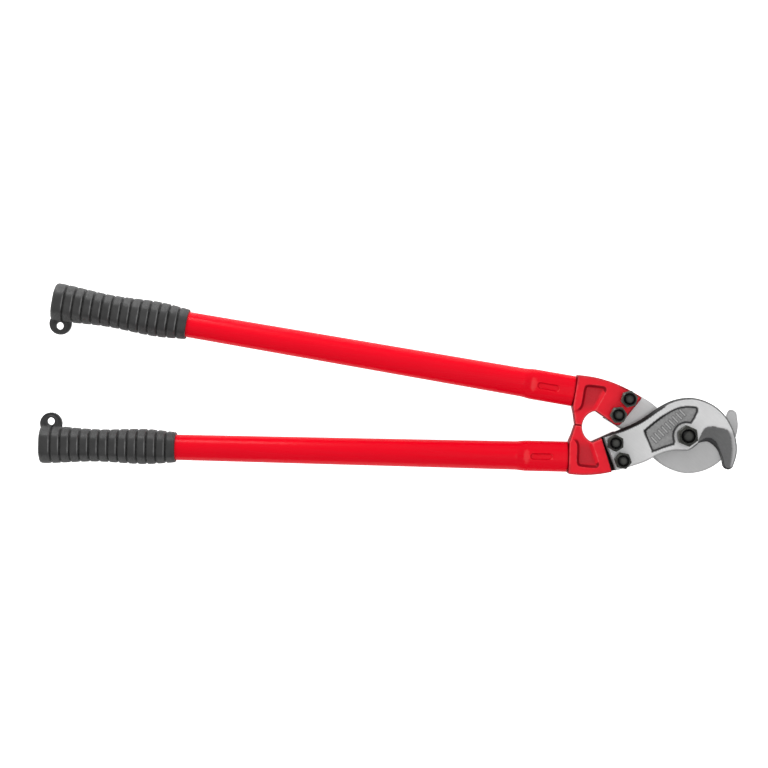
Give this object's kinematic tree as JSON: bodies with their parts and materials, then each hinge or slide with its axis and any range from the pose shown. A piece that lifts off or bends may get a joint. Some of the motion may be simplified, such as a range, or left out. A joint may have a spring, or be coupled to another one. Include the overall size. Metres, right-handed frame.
{
  "type": "cable cutter",
  "caption": "Long-handled cable cutter: two hooked shear blades on a pivot bolt, each bolted to a red forged socket with a red steel tube and a ribbed black rubber grip.",
  "frame": {"origin": "centre of the outer face of the pivot bolt's head, on the pivot's axis", "axes": "+X along the tool's long axis towards the jaws, +Y towards the upper handle, +Z along the pivot's axis towards its nut; the object lies flat on its back"},
  "size_m": [0.5989, 0.1558, 0.0359],
  "materials": {
    "blade_steel": "forged and ground tool steel, satin",
    "socket_red": "red paint on a forging, semi-gloss",
    "tube_red": "red paint, gloss",
    "grip_rubber": "moulded black rubber, matt",
    "black_steel": "black oxide steel fasteners",
    "insert_nylon": "black nylon"
  },
  "bodies": {
    "lower_half": {"blade_front": "blade_steel", "socket_lower": "socket_red", "tube_lower": "tube_red", "grip_lower": "grip_rubber", "pivot_bolt": "black_steel", "pivot_nut": "black_steel", "pivot_insert": "insert_nylon", "lower_bolt_outer": "black_steel", "lower_bolt_inner": "black_steel", "lower_nut_outer": "black_steel", "lower_nut_inner": "black_steel", "lower_insert_outer": "insert_nylon", "lower_insert_inner": "insert_nylon"},
    "upper_half": {"blade_rear": "blade_steel", "socket_upper": "socket_red", "tube_upper": "tube_red", "grip_upper": "grip_rubber", "upper_bolt_outer": "black_steel", "upper_bolt_inner": "black_steel", "upper_nut_outer": "black_steel", "upper_nut_inner": "black_steel", "upper_insert_outer": "insert_nylon", "upper_insert_inner": "insert_nylon"}
  },
  "joints": [
    {"name": "pivot", "type": "hinge", "parent": "lower_half", "child": "upper_half", "pos_m": [0, 0, 0.01585], "axis": [0, 0, -1], "range_deg": [0, 110]}
  ]
}
